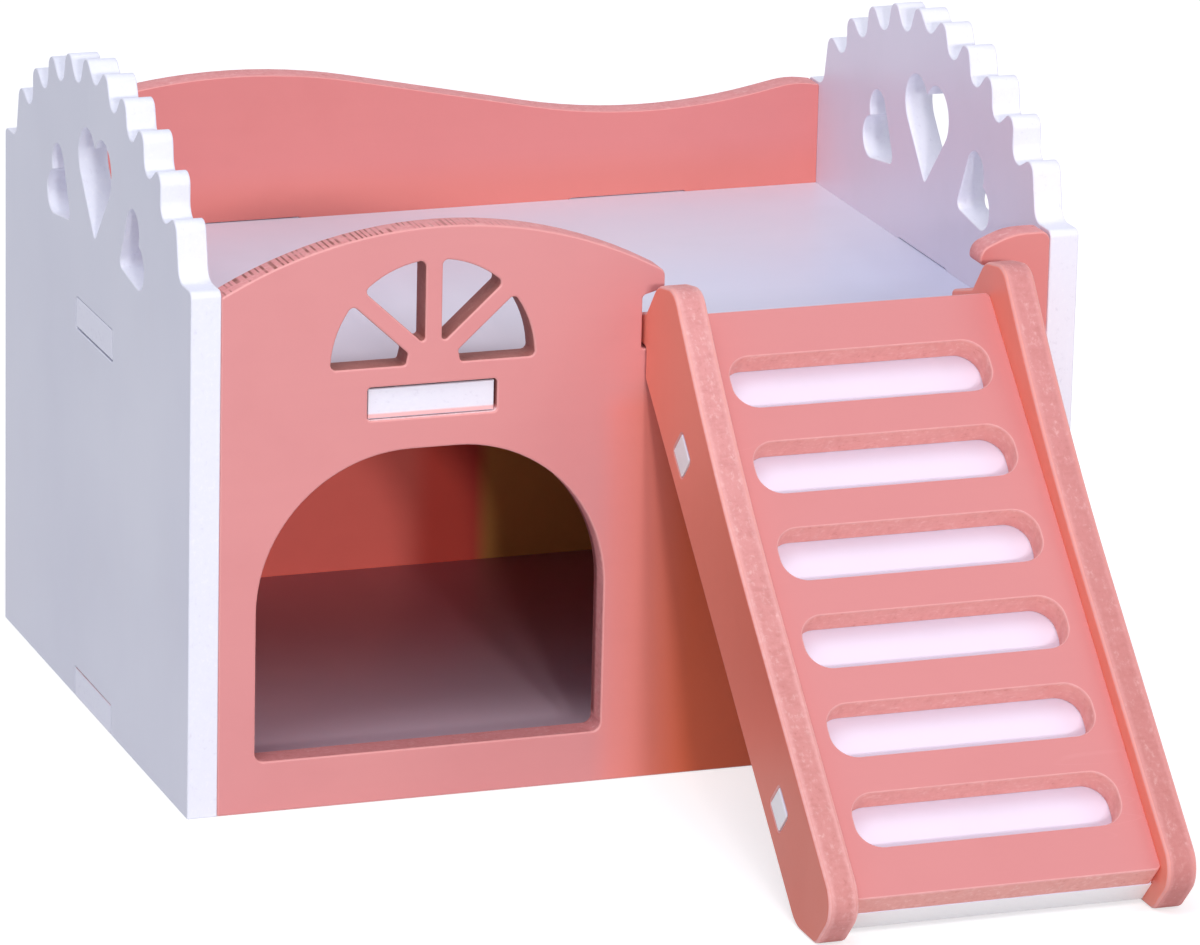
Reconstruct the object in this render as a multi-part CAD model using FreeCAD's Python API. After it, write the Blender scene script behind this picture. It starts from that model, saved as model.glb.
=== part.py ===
"""Wooden hamster house with a roof terrace and a hook-on ladder.

Units are millimetres. +Z is up, +Y points to the back of the house and +X to its right.
The origin is the middle of the house's footprint, on the surface that it stands on.
Every piece is cut from flat sheet and keyed together with tabs and slots.
"""
import FreeCAD, Part
import math
import os

V = FreeCAD.Vector

# ---------------------------------------------------------------- driving dimensions
# sheet and house
SHEET = 5.0                  # thickness of every board
HOUSE_WIDTH = 150.0          # over the two side panels
HOUSE_DEPTH = 108.6          # over the front and back panels
HOUSE_HEIGHT = 110.0         # to the highest scallop
PARAPET = 41.2               # from the terrace's walking surface to the highest scallop
CORNER_ROUND = 0.4           # softening of sawn corners
OVERRUN = 1.0                # how far a cutter runs past the sheet that it cuts

# side panels: scallops and rounded valleys in turn along an arch, between two shoulders
SCALLOP_ARCH_RADIUS = 77.0   # of the arch over the scallops
SCALLOP_PITCH = 10.75        # from one scallop to the next, along that arch
SCALLOP_RADIUS = 2.1         # of a scallop's top
SCALLOP_DEPTH = 4.4          # of the valleys below the arch
VALLEY_RADIUS = 2.6
MIDDLE_VALLEY_DEPTH = 3.1    # of the valley at the panel's middle
SHOULDER_ROOM = 8.0          # least distance from a scallop's middle to the panel's edge
SHOULDER_DROP = 7.0          # of the shoulder below the middle of the last scallop
SHOULDER_RUN = 4.6           # from the foot of that scallop to the panel's edge
SHOULDER_RADIUS = 1.2

# hearts, each standing on its tip
HEART_LOBE_OVERLAP = 1.2     # of the two round lobes
HEART_CLEFT_RADIUS = 0.4
BIG_HEART_WIDTH = 19.2
BIG_HEART_HEIGHT = 17.7
BIG_HEART_TIP_RADIUS = 0.7
BIG_HEART_DROP = 28.9        # of its tip below the highest scallop
SMALL_HEART_WIDTH = 13.2
SMALL_HEART_HEIGHT = 14.0
SMALL_HEART_TIP_RADIUS = 1.3
SMALL_HEART_DROP = 29.2
SMALL_HEART_OFFSET = 14.1    # of its tip from the panel's middle
SMALL_HEART_TILT_DEG = 28.0  # rise of its axis above the horizontal

# tabs and their slots
SIDE_TAB_WIDTH = 21.0        # deck and floor tabs through the side panels
WALL_TAB_WIDTH = 21.0        # deck tabs through the front and back panels
SLOT_SIDE_GAP = 0.3
SLOT_TOP_GAP = 0.1
SLOT_UNDER_GAP = 0.4         # slots are filed open below the tab
FRONT_SLOT_TOP_GAP = 0.35    # the front panel sits high, with its slots' sills under the tabs
FRONT_SLOT_UNDER_GAP = 0.1
FRONT_TAB_RECESS = 0.8       # from the front panel's face back to the ends of its tabs
SLOT_CORNER_RADIUS = 0.6

# front panel: door, and the arch over it
DOOR_POST_LEFT = 6.2         # wall left standing at the door's left
DOOR_POST_RIGHT = 5.5        # wall between the door and the ladder notch
DOOR_SILL = 8.5
DOOR_HEAD = 5.2              # from the door's top to the deck's underside
DOOR_TOP_FLAT = 7.6          # straight run between the door's round top corners
DOOR_SILL_RADIUS = 1.5
ARCH_ABOVE_DECK = 26.0       # arch crown over the walking surface
ARCH_RISE = 9.2              # of the arch over its ends
ARCH_SHIFT = 0.6             # of the crown to the left of the middle
ARCH_END_FLAT = 1.5          # straight run at each end of the arch
ARCH_END_RADIUS = 1.5

# front panel: fan window
FAN_ABOVE_DECK = 3.6
FAN_SHIFT = 0.35             # of its middle to the left of the door's
FAN_RADIUS = 17.0
FAN_HUB_RADIUS = 4.6
FAN_SPOKE = 2.8              # width of one spoke
FAN_SPOKE_DEG = 42.5         # of the slanting spokes over the fan's base
FAN_RIM_CORNER_RADIUS = 0.9
FAN_HUB_CORNER_RADIUS = 0.5

# front panel: ladder notch with its overhanging lips, and the post beside it
NOTCH_ABOVE_DECK = 3.4
NOTCH_PLAY = 0.5             # between a rail and the notch's side wall
NOTCH_RADIUS = 0.4
LIP_HEIGHT = 9.8             # of the lips' undersides over the notch's floor
LIP_SLANT = 1.0              # rise of a lip's underside towards its nose
LIP_RADIUS = 0.8
LEFT_LIP_REACH = 3.7
RIGHT_LIP_REACH = 4.1
POST_WIDTH = 8.0             # of the post at the notch's right
POST_HEIGHT = 14.6           # over the notch's floor
POST_SHOULDER_DROP = 2.4
POST_FLAT = 6.5              # length of the post's flat top
POST_NOSE_RADIUS = 2.4
POST_CROWN_RADIUS = 12.0
POST_CORNER_RADIUS = 1.6     # beside the right side panel

# back panel's wavy top; a reach is how far a curve extends either way from its middle
WAVE_SLOPE_DEG = 11.3        # between a crest and a valley
WAVE_END_SLOPE_DEG = 8.5     # behind the small bump at the right end
WAVE_CREST_ABOVE_DECK = 25.4
WAVE_CREST_INSET = 34.0      # from the panel's left end
WAVE_CREST_REACH = 21.4
WAVE_VALLEY_INSET = 32.0     # from the panel's right end
WAVE_VALLEY_REACH = 21.4
WAVE_BUMP_INSET = 4.5
WAVE_BUMP_REACH = 2.6

# ladder; s runs down its slope from the front edge of the notch's floor, n stands square to it
LADDER_SLOPE_DEG = 43.0
LADDER_INNER_WIDTH = 51.0    # between the rails
WALL_GAP = 0.3               # between the rails and the front panel
RAIL_UNDERSIDE_N = -3.35     # straight underside of a rail
RAIL_WIDTH = 16.7            # of its straight lower stretch
RAIL_FLARE_DEG = 9.0         # how far the top edge opens towards the head
RAIL_BEND_S = 29.9           # where the top edge bends
RAIL_BEND_REACH = 24.0       # length of the bend either way
RAIL_HEAD_S = 0.2            # crown of the head
RAIL_HEAD_RADIUS = 4.5
RAIL_NAPE_OUT = 4.7          # head's back corner: in front of the wall
RAIL_NAPE_RISE = 11.8        # and over the notch's floor
RAIL_NAPE_RADIUS = 5.0
RAIL_TOE_RISE = 7.8          # height where the top edge ends
RAIL_TOE_RADIUS = 5.0
RAIL_SOLE_RADIUS = 3.0
RAIL_HEEL_RADIUS = 6.0
NECK_FRONT_RISE = 6.0        # top of the hook's neck over the notch's floor, in front
NECK_BACK_RISE = 3.6         # and at its back end
NECK_ROOT_RADIUS = 1.5
HOOK_PLAY = 1.0              # between the hook and the back of the front panel
HOOK_THICKNESS = 2.5
HOOK_GRIP = 2.3              # how far the hook reaches below the notch's floor
HOOK_RADIUS = 0.8

# boards of the ladder
TREAD_TOP_N = 10.45          # its walking surface
TREAD_START_S = 0.35
TREAD_TOE_RISE = 4.2         # height of its lower corner
TREAD_CORNER_RADIUS = 1.0
FOOTHOLD_COUNT = 6
FOOTHOLD_MARGIN = 13.2       # from a board end to the middle of the nearest foothold
FOOTHOLD_LENGTH = 44.0
FOOTHOLD_HEIGHT = 9.3
FOOTHOLD_RADIUS = 4.0
BACKING_TAB_WIDTH = 5.0
BACKING_TAB_HEAD_INSET = 21.3  # from the board's upper end to a tab's middle
BACKING_TAB_FOOT_INSET = 20.3  # from its lower end
BACKING_TAB_GAP = 0.15

# ---------------------------------------------------------------- derived places
HALF_WIDTH = HOUSE_WIDTH / 2
HALF_DEPTH = HOUSE_DEPTH / 2
INNER_X = HALF_WIDTH - SHEET
INNER_Y = HALF_DEPTH - SHEET
FRONT_Y = -HALF_DEPTH
THROUGH = SHEET + 2 * OVERRUN
DECK_TOP = HOUSE_HEIGHT - PARAPET
DECK_BOTTOM = DECK_TOP - SHEET
WALL_TAB_X = INNER_X / 2
NOTCH_FLOOR = DECK_TOP + NOTCH_ABOVE_DECK
RAIL_INNER = LADDER_INNER_WIDTH / 2
RAIL_OUTER = RAIL_INNER + SHEET
NOTCH_RIGHT = INNER_X - POST_WIDTH
LADDER_X = NOTCH_RIGHT - NOTCH_PLAY - RAIL_OUTER
NOTCH_LEFT = LADDER_X - RAIL_OUTER - NOTCH_PLAY
DOOR_LEFT = -INNER_X + DOOR_POST_LEFT
DOOR_RIGHT = NOTCH_LEFT - DOOR_POST_RIGHT
FAN_X = (DOOR_LEFT + DOOR_RIGHT) / 2 - FAN_SHIFT
FAN_BASE = DECK_TOP + FAN_ABOVE_DECK
SLOPE = math.radians(LADDER_SLOPE_DEG)
RAIL_TOP_N = RAIL_UNDERSIDE_N + RAIL_WIDTH
BACKING_TOP_N = TREAD_TOP_N - SHEET
BACKING_BOTTOM_N = BACKING_TOP_N - SHEET


# ---------------------------------------------------------------- outlines
def rounded_wire(corners, place):
    """Closed wire through corners (a, b, radius), each corner rounded by a tangent arc.

    place turns an outline point (a, b) into a point of the model.
    """
    count = len(corners)
    spans = []
    for i in range(count):
        a, b, radius = corners[i]
        here = V(a, b, 0)
        if radius <= 0:
            spans.append((here, None, here))
            continue
        back = (V(*corners[i - 1][:2], 0) - here).normalize()
        ahead = (V(*corners[(i + 1) % count][:2], 0) - here).normalize()
        half = back.getAngle(ahead) / 2
        reach = radius / math.tan(half)
        bisector = (back + ahead).normalize()
        middle = here + bisector * (radius / math.sin(half) - radius)
        spans.append((here + back * reach, middle, here + ahead * reach))
    edges = []
    for i in range(count):
        start, middle, end = spans[i]
        following = spans[(i + 1) % count][0]
        if middle is not None:
            edges.append(Part.Arc(place(start), place(middle), place(end)).toShape())
        edges.append(Part.LineSegment(place(end), place(following)).toShape())
    return Part.Wire(edges)


def bend_radius(reach, turn):
    """Radius of an arc that turns through an angle and reaches so far from its corner."""
    return reach / math.tan(turn / 2)


def prism(wire, along):
    """Solid swept from a closed flat wire along a vector."""
    return Part.Face(wire).extrude(along)


def wall_board(corners, y, thickness=SHEET):
    """Board parallel to the front, from an outline in x and z, from y backwards."""
    wire = rounded_wire(corners, lambda p: V(p.x, y, p.y))
    return prism(wire, V(0, thickness, 0))


def side_board(corners, x, thickness=SHEET):
    """Board parallel to the sides, from an outline in y and z, from x to the right."""
    wire = rounded_wire(corners, lambda p: V(x, p.x, p.y))
    return prism(wire, V(thickness, 0, 0))


def box_corners(a_low, a_high, b_low, b_high, radius=0.0):
    """Four corners of an upright rectangle with one radius."""
    return [(a_low, b_low, radius), (a_high, b_low, radius),
            (a_high, b_high, radius), (a_low, b_high, radius)]


def deck_slot_corners(middle, tab_width, under_gap=SLOT_UNDER_GAP, top_gap=SLOT_TOP_GAP):
    """Outline of the slot that takes a tab of the deck."""
    half = tab_width / 2 + SLOT_SIDE_GAP
    return box_corners(middle - half, middle + half, DECK_BOTTOM - under_gap,
                       DECK_TOP + top_gap, SLOT_CORNER_RADIUS)


def swept_edges(shape, spots, along):
    """Edges that a sweep along the given vector drew from the given outline points."""
    found = []
    for edge in shape.Edges:
        middle = edge.BoundBox.Center
        if any(middle.distanceToPoint(spot + along / 2) < 0.01 for spot in spots):
            found.append(edge)
    return found


# ---------------------------------------------------------------- side panels
def scallop_middles(x):
    """Middles of the circles that round the row from the panel's middle to its back shoulder.

    Valleys and scallops come in turn; the last circle rounds the foot of the last scallop.
    """
    scallops = SCALLOP_ARCH_RADIUS - SCALLOP_RADIUS
    valleys = SCALLOP_ARCH_RADIUS - SCALLOP_DEPTH + VALLEY_RADIUS
    pitch = SCALLOP_PITCH / SCALLOP_ARCH_RADIUS
    arch_z = HOUSE_HEIGHT - SCALLOP_RADIUS - scallops * math.cos(pitch / 2)
    count = int(math.asin((HALF_DEPTH - SHOULDER_ROOM) / scallops) / pitch + 0.5)

    def on_arch(radius, steps):
        angle = steps * pitch
        return V(x, radius * math.sin(angle), arch_z + radius * math.cos(angle))

    middles = [on_arch(valleys + SCALLOP_DEPTH - MIDDLE_VALLEY_DEPTH, 0)]
    for i in range(count):
        middles += [on_arch(scallops, i + 0.5), on_arch(valleys, i + 1)]
    shoulder_z = middles[-2].z - SHOULDER_DROP
    middles[-1] = V(x, HALF_DEPTH - SHOULDER_RUN, shoulder_z + VALLEY_RADIUS)
    return middles


def flank(scallop, valley):
    """Both ends of the straight flank that touches a scallop and the valley beside it."""
    between = valley - scallop
    share = (SCALLOP_RADIUS + VALLEY_RADIUS) / between.Length
    along = between.normalize()
    upward = V(0, -along.z, along.y) * math.copysign(1, along.y)
    normal = along * share + upward * math.sqrt(1 - share ** 2)
    return scallop + normal * SCALLOP_RADIUS, valley - normal * VALLEY_RADIUS


def side_outline(x):
    """Closed wire of a side panel: upright edges, shoulders and scalloped top."""
    back_half = scallop_middles(x)
    row = [V(x, -p.y, p.z) for p in reversed(back_half[1:])] + back_half
    feet = [V(x, p.y, p.z - VALLEY_RADIUS) for p in (row[0], row[-1])]
    route = [feet[0]]
    for i, (near, far) in enumerate(zip(row, row[1:])):
        route += reversed(flank(far, near)) if i % 2 == 0 else flank(near, far)
    route.append(feet[1])
    edges = [Part.LineSegment(a, b).toShape() for a, b in zip(route[1::2], route[2::2])]
    for i, middle in enumerate(row):
        start, end = route[2 * i:2 * i + 2]
        outward = (start + end - middle * 2).normalize()
        summit = middle + outward * (SCALLOP_RADIUS if i % 2 else VALLEY_RADIUS)
        edges.append(Part.Arc(start, summit, end).toShape())

    bend = SHOULDER_RADIUS * (1 - math.sqrt(0.5))
    for foot, sign in zip(feet, (-1, 1)):
        edge_y = sign * HALF_DEPTH
        flat = V(x, edge_y - sign * SHOULDER_RADIUS, foot.z)
        upright = V(x, edge_y, foot.z - SHOULDER_RADIUS)
        edges.append(Part.LineSegment(foot, flat).toShape())
        edges.append(Part.Arc(flat, V(x, edge_y - sign * bend, foot.z - bend), upright).toShape())
        edges.append(Part.LineSegment(upright, V(x, edge_y, 0)).toShape())
    edges.append(Part.LineSegment(V(x, -HALF_DEPTH, 0), V(x, HALF_DEPTH, 0)).toShape())
    return Part.Wire(Part.__sortEdges__(edges))


def heart_cutter(x, width, height, tip_radius, tip_y, tip_z, tilt_deg):
    """Heart-shaped cutter through a side panel.

    The heart stands on its tip and its axis rises tilt_deg above the horizontal towards +Y.
    Each side is the tangent from the tip to a lobe; tip and cleft are rounded.
    """
    lobe = (width + HEART_LOBE_OVERLAP) / 4
    a = width / 2 - lobe
    b = height - lobe
    reach = math.hypot(a, b)
    side_angle = math.atan2(b, a) - math.asin(lobe / reach)
    side_end = math.sqrt(reach ** 2 - lobe ** 2)
    side_start = tip_radius * math.tan(side_angle)
    tip_b = tip_radius / math.cos(side_angle) - tip_radius
    around_cleft = lobe + HEART_CLEFT_RADIUS
    cleft_centre = b + math.sqrt(around_cleft ** 2 - a ** 2)
    touch_a = a - a * lobe / around_cleft
    touch_b = b + (cleft_centre - b) * lobe / around_cleft
    turn = math.radians(tilt_deg - 90)

    def place(point_a, point_b):
        y = point_a * math.cos(turn) - point_b * math.sin(turn)
        z = point_a * math.sin(turn) + point_b * math.cos(turn)
        return V(x - OVERRUN, tip_y + y, tip_z + z)

    edges = [
        Part.Arc(place(-touch_a, touch_b), place(0, cleft_centre - HEART_CLEFT_RADIUS),
                 place(touch_a, touch_b)).toShape(),
        Part.Arc(place(-side_start * math.cos(side_angle), side_start * math.sin(side_angle)),
                 place(0, tip_b),
                 place(side_start * math.cos(side_angle),
                       side_start * math.sin(side_angle))).toShape(),
    ]
    for sign in (-1, 1):
        low = place(sign * side_start * math.cos(side_angle), side_start * math.sin(side_angle))
        high = place(sign * side_end * math.cos(side_angle), side_end * math.sin(side_angle))
        edges.append(Part.LineSegment(low, high).toShape())
        edges.append(Part.Arc(high, place(sign * a, height),
                              place(sign * touch_a, touch_b)).toShape())
    return prism(Part.Wire(Part.__sortEdges__(edges)), V(THROUGH, 0, 0))


def side_panel(x):
    """Scalloped side panel with its hearts, deck slot and floor notch."""
    panel = prism(side_outline(x), V(SHEET, 0, 0))
    panel = panel.cut(heart_cutter(x, BIG_HEART_WIDTH, BIG_HEART_HEIGHT, BIG_HEART_TIP_RADIUS,
                                   0, HOUSE_HEIGHT - BIG_HEART_DROP, 90))
    for sign in (-1, 1):
        tilt = 90 - sign * (90 - SMALL_HEART_TILT_DEG)
        panel = panel.cut(heart_cutter(x, SMALL_HEART_WIDTH, SMALL_HEART_HEIGHT,
                                       SMALL_HEART_TIP_RADIUS, sign * SMALL_HEART_OFFSET,
                                       HOUSE_HEIGHT - SMALL_HEART_DROP, tilt))
    slot = deck_slot_corners(0, SIDE_TAB_WIDTH)
    panel = panel.cut(side_board(slot, x - OVERRUN, THROUGH))
    half = SIDE_TAB_WIDTH / 2 + SLOT_SIDE_GAP
    notch = box_corners(-half, half, -OVERRUN, SHEET + SLOT_TOP_GAP)
    return panel.cut(side_board(notch, x - OVERRUN, THROUGH))


# ---------------------------------------------------------------- front panel
def front_outline():
    """Outline of the front panel: arch, ladder notch under its lips, and post."""
    arch_end_x = NOTCH_LEFT + LEFT_LIP_REACH
    half_arch = (arch_end_x + INNER_X) / 2
    arch_x = arch_end_x - half_arch - ARCH_SHIFT
    slope = 2 * math.atan(ARCH_RISE / half_arch)
    radius = bend_radius(half_arch / math.cos(slope) - ARCH_END_FLAT, 2 * slope)
    vertex_z = DECK_TOP + ARCH_ABOVE_DECK + radius * (1 / math.cos(slope) - 1)
    left_z = vertex_z - (INNER_X + arch_x) * math.tan(slope)
    right_z = vertex_z - (arch_end_x - arch_x) * math.tan(slope)
    lip_z = NOTCH_FLOOR + LIP_HEIGHT
    post_top = NOTCH_FLOOR + POST_HEIGHT
    return [
        (-INNER_X, 0, 0),
        (-INNER_X, left_z, CORNER_ROUND),
        (arch_x, vertex_z, radius),
        (arch_end_x, right_z, ARCH_END_RADIUS),
        (arch_end_x, lip_z, LIP_RADIUS),
        (NOTCH_LEFT, lip_z - LIP_SLANT, LIP_RADIUS),
        (NOTCH_LEFT, NOTCH_FLOOR, NOTCH_RADIUS),
        (NOTCH_RIGHT, NOTCH_FLOOR, NOTCH_RADIUS),
        (NOTCH_RIGHT, lip_z - LIP_SLANT, LIP_RADIUS),
        (NOTCH_RIGHT - RIGHT_LIP_REACH, lip_z, LIP_RADIUS),
        (NOTCH_RIGHT - RIGHT_LIP_REACH, post_top - POST_SHOULDER_DROP, POST_NOSE_RADIUS),
        (INNER_X - POST_FLAT, post_top, POST_CROWN_RADIUS),
        (INNER_X, post_top, POST_CORNER_RADIUS),
        (INNER_X, 0, 0),
    ]


def door_corners():
    """Doorway: upright sides, large top corners and small sill corners."""
    top = DECK_BOTTOM - DOOR_HEAD
    radius = (DOOR_RIGHT - DOOR_LEFT - DOOR_TOP_FLAT) / 2
    return [(DOOR_LEFT, DOOR_SILL, DOOR_SILL_RADIUS), (DOOR_RIGHT, DOOR_SILL, DOOR_SILL_RADIUS),
            (DOOR_RIGHT, top, radius), (DOOR_LEFT, top, radius)]


def fan_cutters():
    """The four openings of the fan window, right of its middle spoke and mirrored left of it."""
    half_spoke = FAN_SPOKE / 2

    def place(radius, angle):
        return V(FAN_X + radius * math.cos(angle), FRONT_Y - OVERRUN,
                 FAN_BASE + radius * math.sin(angle))

    def beside(spoke_deg, side, radius):
        """Angle of the point at a radius on the given side of a spoke."""
        return math.radians(spoke_deg) + side * math.asin(half_spoke / radius)

    def opening(inner, rim_start, rim_end):
        start = place(FAN_RADIUS, rim_start)
        end = place(FAN_RADIUS, rim_end)
        middle = place(FAN_RADIUS, (rim_start + rim_end) / 2)
        outline = [end] + inner + [start]
        edges = [Part.Arc(start, middle, end).toShape()]
        edges += [Part.LineSegment(a, b).toShape() for a, b in zip(outline, outline[1:])]
        through = V(0, THROUGH, 0)
        cutter = prism(Part.Wire(edges), through)
        rim = swept_edges(cutter, [start, end], through)
        cutter = cutter.makeFillet(FAN_RIM_CORNER_RADIUS, rim)
        hub = swept_edges(cutter, inner, through)
        return cutter.makeFillet(FAN_HUB_CORNER_RADIUS, hub)

    low_inner = [place(FAN_HUB_RADIUS, beside(FAN_SPOKE_DEG, -1, FAN_HUB_RADIUS)),
                 place(FAN_HUB_RADIUS, 0)]
    low = opening(low_inner, 0, beside(FAN_SPOKE_DEG, -1, FAN_RADIUS))
    half_wedge = math.radians(90 - FAN_SPOKE_DEG) / 2
    wedge_tip = place(half_spoke / math.sin(half_wedge), math.radians(90) - half_wedge)
    high = opening([wedge_tip], beside(FAN_SPOKE_DEG, 1, FAN_RADIUS),
                   beside(90, -1, FAN_RADIUS))
    middle = V(FAN_X, 0, 0)
    return [low, high, low.mirror(middle, V(1, 0, 0)), high.mirror(middle, V(1, 0, 0))]


def cut_deck_slots(panel, y, under_gap, top_gap):
    """Cuts the two deck slots of a front or back panel."""
    for sign in (-1, 1):
        slot = deck_slot_corners(sign * WALL_TAB_X, WALL_TAB_WIDTH, under_gap, top_gap)
        panel = panel.cut(wall_board(slot, y - OVERRUN, THROUGH))
    return panel


def front_panel():
    """Front panel with door, fan window, deck slots and the notch that holds the ladder."""
    panel = wall_board(front_outline(), FRONT_Y)
    panel = panel.cut(wall_board(door_corners(), FRONT_Y - OVERRUN, THROUGH))
    for cutter in fan_cutters():
        panel = panel.cut(cutter)
    return cut_deck_slots(panel, FRONT_Y, FRONT_SLOT_UNDER_GAP, FRONT_SLOT_TOP_GAP)


# ---------------------------------------------------------------- back panel, deck and floor
def back_panel():
    """Back panel: crest on the door's side, valley behind the ladder, small bump at the end."""
    turn = math.radians(WAVE_SLOPE_DEG)
    end_turn = math.radians(WAVE_END_SLOPE_DEG)
    crest_radius = bend_radius(WAVE_CREST_REACH, 2 * turn)
    crest_x = -INNER_X + WAVE_CREST_INSET
    crest_z = DECK_TOP + WAVE_CREST_ABOVE_DECK + crest_radius * (1 / math.cos(turn) - 1)
    valley_x = INNER_X - WAVE_VALLEY_INSET
    valley_z = crest_z - (valley_x - crest_x) * math.tan(turn)
    bump_x = INNER_X - WAVE_BUMP_INSET
    bump_z = valley_z + (bump_x - valley_x) * math.tan(turn)
    outline = [
        (-INNER_X, 0, 0),
        (-INNER_X, crest_z - WAVE_CREST_INSET * math.tan(turn), CORNER_ROUND),
        (crest_x, crest_z, crest_radius),
        (valley_x, valley_z, bend_radius(WAVE_VALLEY_REACH, 2 * turn)),
        (bump_x, bump_z, bend_radius(WAVE_BUMP_REACH, turn + end_turn)),
        (INNER_X, bump_z - WAVE_BUMP_INSET * math.tan(end_turn), CORNER_ROUND),
        (INNER_X, 0, 0),
    ]
    panel = wall_board(outline, INNER_Y)
    return cut_deck_slots(panel, INNER_Y, SLOT_UNDER_GAP, SLOT_TOP_GAP)


def flat_board(x_half, y_half, bottom):
    """Flat board centred on the origin in plan."""
    return Part.makeBox(2 * x_half, 2 * y_half, SHEET, V(-x_half, -y_half, bottom))


def terrace_deck():
    """Deck between the four walls, with tabs through each of them."""
    deck = flat_board(INNER_X, INNER_Y, DECK_BOTTOM)
    deck = deck.fuse(flat_board(HALF_WIDTH, SIDE_TAB_WIDTH / 2, DECK_BOTTOM))
    for sign in (-1, 1):
        left = sign * WALL_TAB_X - WALL_TAB_WIDTH / 2
        tab = Part.makeBox(WALL_TAB_WIDTH, HOUSE_DEPTH - FRONT_TAB_RECESS, SHEET,
                           V(left, FRONT_Y + FRONT_TAB_RECESS, DECK_BOTTOM))
        deck = deck.fuse(tab)
    return deck.removeSplitter()


def floor_board():
    """Floor between the four walls, with a tab through each side panel."""
    floor = flat_board(INNER_X, INNER_Y, 0)
    floor = floor.fuse(flat_board(HALF_WIDTH, SIDE_TAB_WIDTH / 2, 0))
    return floor.removeSplitter()


# ---------------------------------------------------------------- ladder
def on_slope(s, n):
    """Depth and height (y, z) of a point of the ladder's sloping frame."""
    y = FRONT_Y - s * math.cos(SLOPE) - n * math.sin(SLOPE)
    z = NOTCH_FLOOR - s * math.sin(SLOPE) + n * math.cos(SLOPE)
    return y, z


def s_at_height(n, z):
    """How far down the slope a line of constant n comes down to a height."""
    return (NOTCH_FLOOR + n * math.cos(SLOPE) - z) / math.sin(SLOPE)


def rail_outline():
    """Rail outline in y and z, from the foot of its back face round by the hook and head."""
    back_y = FRONT_Y - WALL_GAP
    back_s = (WALL_GAP - RAIL_UNDERSIDE_N * math.sin(SLOPE)) / math.cos(SLOPE)
    neck_z = NOTCH_FLOOR + WALL_GAP
    hook_front = -INNER_Y + HOOK_PLAY
    hook_back = hook_front + HOOK_THICKNESS
    hook_z = NOTCH_FLOOR - HOOK_GRIP
    flare = math.radians(RAIL_FLARE_DEG)
    head = on_slope(RAIL_HEAD_S, RAIL_TOP_N + (RAIL_BEND_S - RAIL_HEAD_S) * math.tan(flare))
    bend = on_slope(RAIL_BEND_S, RAIL_TOP_N)
    toe_s = s_at_height(RAIL_TOP_N, RAIL_TOE_RISE)
    toe = on_slope(toe_s, RAIL_TOP_N)
    sole = on_slope(toe_s, (toe_s * math.sin(SLOPE) - NOTCH_FLOOR) / math.cos(SLOPE))
    heel = on_slope(s_at_height(RAIL_UNDERSIDE_N, 0), RAIL_UNDERSIDE_N)
    return [
        (back_y, on_slope(back_s, RAIL_UNDERSIDE_N)[1], 0),
        (back_y, neck_z, 0),
        (hook_front, neck_z, 0),
        (hook_front, hook_z, HOOK_RADIUS),
        (hook_back, hook_z, HOOK_RADIUS),
        (hook_back, NOTCH_FLOOR + NECK_BACK_RISE, HOOK_RADIUS),
        (FRONT_Y, NOTCH_FLOOR + NECK_FRONT_RISE, NECK_ROOT_RADIUS),
        (FRONT_Y - RAIL_NAPE_OUT, NOTCH_FLOOR + RAIL_NAPE_RISE, RAIL_NAPE_RADIUS),
        (*head, RAIL_HEAD_RADIUS),
        (*bend, bend_radius(RAIL_BEND_REACH, flare)),
        (*toe, RAIL_TOE_RADIUS),
        (sole[0], 0, RAIL_SOLE_RADIUS),
        (heel[0], 0, RAIL_HEEL_RADIUS),
    ]


def sloped_block(x, width, s_low, s_high, n_low, n_high):
    """Block square to the ladder's slope, from x to the right."""
    corners = box_corners(s_low, s_high, n_low, n_high)
    wire = rounded_wire(corners, lambda p: V(x, *on_slope(p.x, p.y)))
    return prism(wire, V(width, 0, 0))


def sloped_plate(corners, n_low, n_high):
    """Plate lying in the ladder's slope, from an outline in x and s."""
    wire = rounded_wire(corners, lambda p: V(p.x, *on_slope(p.y, n_low)))
    return prism(wire, V(0, *on_slope(0, n_high)) - V(0, *on_slope(0, n_low)))


def board_end_s():
    """Lower end of the ladder's boards."""
    return s_at_height(BACKING_TOP_N, TREAD_TOE_RISE)


def backing_tab_places():
    """Middles of the backing board's tabs down the slope."""
    return (TREAD_START_S + BACKING_TAB_HEAD_INSET, board_end_s() - BACKING_TAB_FOOT_INSET)


def ladder_rail(x):
    """One rail with its hook, foot and the holes for the backing board's tabs."""
    rail = side_board(rail_outline(), x)
    half = BACKING_TAB_WIDTH / 2 + BACKING_TAB_GAP
    for s in backing_tab_places():
        rail = rail.cut(sloped_block(x - OVERRUN, THROUGH, s - half, s + half,
                                     BACKING_BOTTOM_N - BACKING_TAB_GAP,
                                     BACKING_TOP_N + BACKING_TAB_GAP))
    return rail


def ladder_tread_board():
    """Board that the pet walks on, with its row of foothold slots."""
    end = board_end_s()
    outline = box_corners(LADDER_X - RAIL_INNER, LADDER_X + RAIL_INNER, TREAD_START_S, end,
                          TREAD_CORNER_RADIUS)
    board = sloped_plate(outline, BACKING_TOP_N, TREAD_TOP_N)
    pitch = (end - TREAD_START_S - 2 * FOOTHOLD_MARGIN) / (FOOTHOLD_COUNT - 1)
    half_x = FOOTHOLD_LENGTH / 2
    half_s = FOOTHOLD_HEIGHT / 2
    for i in range(FOOTHOLD_COUNT):
        s = TREAD_START_S + FOOTHOLD_MARGIN + i * pitch
        slot = box_corners(LADDER_X - half_x, LADDER_X + half_x, s - half_s, s + half_s,
                           FOOTHOLD_RADIUS)
        board = board.cut(sloped_plate(slot, BACKING_TOP_N - OVERRUN, TREAD_TOP_N + OVERRUN))
    return board


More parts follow.
